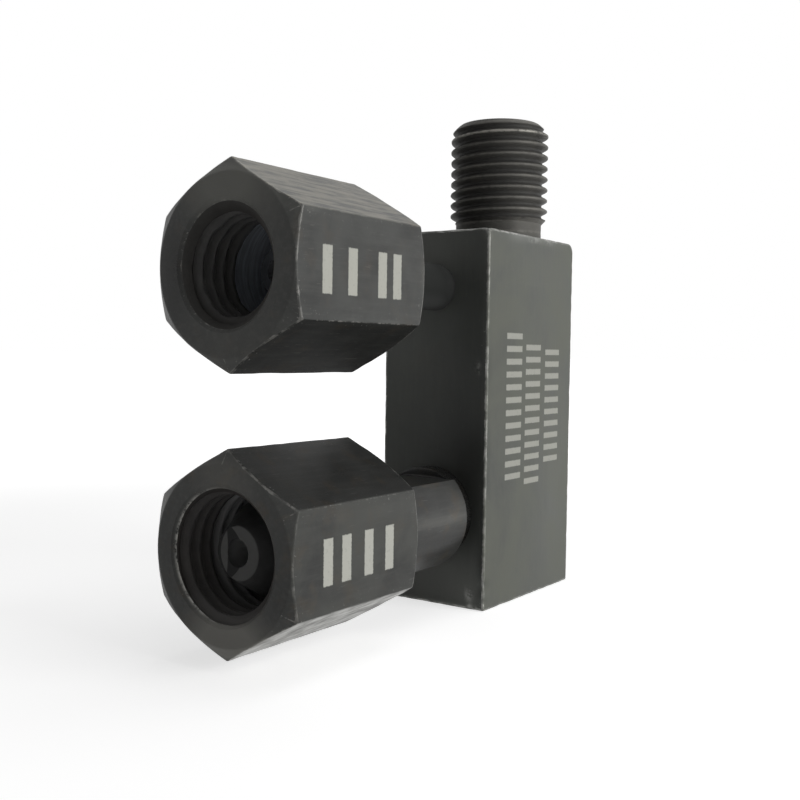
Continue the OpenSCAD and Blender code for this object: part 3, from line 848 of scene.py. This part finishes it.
# turned steel with fine rings. The nose's own flat is paler, apart from a dark band across it from
# start - bend*z^2 to end - bend*z^2 and a painted shadow on its left rim outside stretch*x^2 + z^2 = nose^2.
# The bore grows lighter with its depth
def nosePaint(name, spec, look):
    low, high = [np.array(v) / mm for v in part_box(spec["node"])]
    paint = Paint(name)
    place = paint.place()
    x, y, z = paint.axes(place)
    z = z - (low[2] + high[2]) / 2
    radius = (x * x + z * z) ** 0.5
    turned = paint.add("ShaderNodeCombineXYZ", None, {0: radius * 4.0, 1: y * 4.0})
    rings = paint.noise(turned, 3.0, 3, 0.6)
    cloud = paint.noise(place, 0.6, 4, 0.6)
    tone = paint.blend(paint.step(cloud, 0.3, 0.7), look["dark"], look["light"])
    if spec["gap"]:
        start, end = spec["gap"]
        startBend, endBend = spec["gapBend"]
        soft = 0.06
        front = paint.step(y, low[1] + 0.12, low[1] + 0.04)
        band = paint.step(x + z * z * startBend, start - soft, start + soft)
        band = band * paint.step(x + z * z * endBend, end + soft, end - soft)
        stretched = (x * x * spec["rimStretch"] + z * z) ** 0.5
        # painted shadow on the ring's left rim
        rim = paint.step(stretched, spec["nose"] - 0.1, spec["nose"]) * paint.step(x, 0, -0.5)
        gap = band.maths("MAXIMUM", rim)
        ring = paint.blend(cloud, look["ring"], look["worn"])
        tone = paint.blend(front, tone, paint.blend(gap, ring, look["gap"]))
    hollow = paint.blend(paint.step(y, low[1] - 0.5, low[1] + 3.5), look["hollow"], look["depth"])
    tone = paint.blend(paint.fact("inside"), tone, hollow)
    return paint.finish(tone, 0.5 + (rings - 0.5) * 0.2, cloud * 0.05, rings, 0.01, look["gloss"])


for spec, look in zip(nippleShapes, (upperNoseLook, lowerNoseLook)):
    nose = nosePiece(spec)
    nose.data.materials.append(nosePaint(spec["name"] + "Steel", spec, look))
    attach(nose, "root")
    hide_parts(spec["node"])
print("nipples ready")

# Floor, light and camera. lift is the floor's own glow near the part, against a full white further off; the
# room's light on matt surfaces eases between the two ambient levels towards pale. drop keeps the floor just
# under the part's foot.

stageLook = {
    "floor": (0.72, 0.72, 0.72), "halfSide": 6, "drop": 0.00002, "partY": -0.02, "lift": 0.66, "near": 0.10,
    "far": 0.26, "pale": (0.55, 0.60, 0.58),
    "ambient": (0.015, 0.32), "ease": (-0.35, 0.85),
    "lamps": [("keyRight", (0.45, 0.06, 0.12), (0, 0, 0.03), 0.30, 1.5),
              ("topSoft", (0.10, 0.10, 0.50), (0, -0.01, 0.03), 0.35, 0.45)],
}


# 1 for what camera, glossy and transmission rays see, 0 for the light on matt surfaces
def seenDirectly(tree):
    path = tree.nodes.new("ShaderNodeLightPath")
    kinds = ("Is Camera Ray", "Is Glossy Ray", "Is Transmission Ray")
    camera, glossy, clear = [Wire(tree, path.outputs[kind]) for kind in kinds]
    return (camera + glossy + clear).maths("MINIMUM", 1.0)


floorMesh = bpy.data.meshes.new("floor")
side = stageLook["halfSide"]
corners = [(-side, -side, 0), (side, -side, 0), (side, side, 0), (-side, side, 0)]
floorMesh.from_pydata(corners, [], [(0, 1, 2, 3)])
floor = bpy.data.objects.new("floor", floorMesh)
floor.location.z = -stageLook["drop"]
bpy.context.scene.collection.objects.link(floor)
floorPaint = Paint("paleFloor")
floorX, floorY = floorPaint.axes(floorPaint.place((mm, mm, mm)))[:2]
fromPart = floorY - stageLook["partY"]
away = (floorX * floorX + fromPart * fromPart) ** 0.5  # distance from the part
lift = stageLook["lift"]
lifted = floorPaint.step(away, stageLook["near"], stageLook["far"]) * (1 - lift) + lift
matte = floorPaint.add("ShaderNodeBsdfDiffuse", None, {"Color": stageLook["floor"]})
strength = seenDirectly(floorPaint.tree) * lifted
glow = floorPaint.add("ShaderNodeEmission", None, {"Color": (1.0, 1.0, 1.0), "Strength": strength})
both = floorPaint.add("ShaderNodeAddShader", None, {0: matte, 1: glow})
floorPaint.add("ShaderNodeOutputMaterial", None, {"Surface": both})
floorMesh.materials.append(floorPaint.material)

world = bpy.data.worlds.new("paleRoom")
bpy.context.scene.world = world
world.use_nodes = True
tree = world.node_tree
tree.nodes.clear()
here = tree.nodes.new("ShaderNodeTexCoord")
facing = tree.nodes.new("ShaderNodeVectorMath")
facing.operation = "DOT_PRODUCT"
tree.links.new(here.outputs["Generated"], facing.inputs[0])
facing.inputs[1].default_value = stageLook["pale"]
ease = tree.nodes.new("ShaderNodeMapRange")
ease.interpolation_type = "SMOOTHSTEP"
tree.links.new(facing.outputs["Value"], ease.inputs["Value"])
ease.inputs["From Min"].default_value = stageLook["ease"][0]
ease.inputs["From Max"].default_value = stageLook["ease"][1]
dim, bright = stageLook["ambient"]
soft = Wire(tree, ease.outputs[0]) * (bright - dim) + dim
direct = seenDirectly(tree)
room = direct + (1 - direct) * soft
sky = tree.nodes.new("ShaderNodeBackground")
sky.inputs["Color"].default_value = (1.0, 1.0, 1.0, 1.0)
tree.links.new(room.socket, sky.inputs["Strength"])
roomOut = tree.nodes.new("ShaderNodeOutputWorld")
tree.links.new(sky.outputs[0], roomOut.inputs[0])

for name, place, target, size, power in stageLook["lamps"]:
    lamp = bpy.data.lights.new(name, "AREA")
    lamp.shape = "SQUARE"
    lamp.size = size
    lamp.energy = power
    holder = bpy.data.objects.new(name, lamp)
    holder.location = place
    holder.rotation_euler = (Vector(target) - Vector(place)).to_track_quat("-Z", "Y").to_euler()
    bpy.context.scene.collection.objects.link(holder)

# the camera's axes from azimuth, elevation and roll, as worked out from the edges in the photograph
cameraView = {
    "azimuth": 35.08, "elevation": 2.706, "roll": 0.779, "place": (0.07377, -0.12482, 0.03320),
    "focal": 1026.6, "frame": 800, "sensor": 36,
}
az, el, roll = (math.radians(cameraView[k]) for k in ("azimuth", "elevation", "roll"))
back = Vector((math.sin(az) * math.cos(el), -math.cos(az) * math.cos(el), math.sin(el)))
right = Vector((math.cos(az), math.sin(az), 0))
up = back.cross(right)
rolledRight = right * math.cos(roll) + up * math.sin(roll)
rolledUp = up * math.cos(roll) - right * math.sin(roll)
lens = bpy.data.cameras.new("photoCamera")
lens.sensor_width = cameraView["sensor"]
lens.lens = cameraView["sensor"] * cameraView["focal"] / cameraView["frame"]
lens.clip_start = 0.005
lens.clip_end = 50
camera = bpy.data.objects.new("photoCamera", lens)
axes = Matrix((rolledRight, rolledUp, back)).transposed().to_4x4()
camera.matrix_world = Matrix.Translation(cameraView["place"]) @ axes
bpy.context.scene.collection.objects.link(camera)
bpy.context.scene.camera = camera
bpy.context.scene.view_settings.view_transform = "Standard"
print("stage ready")

bpy.context.view_layer.update()
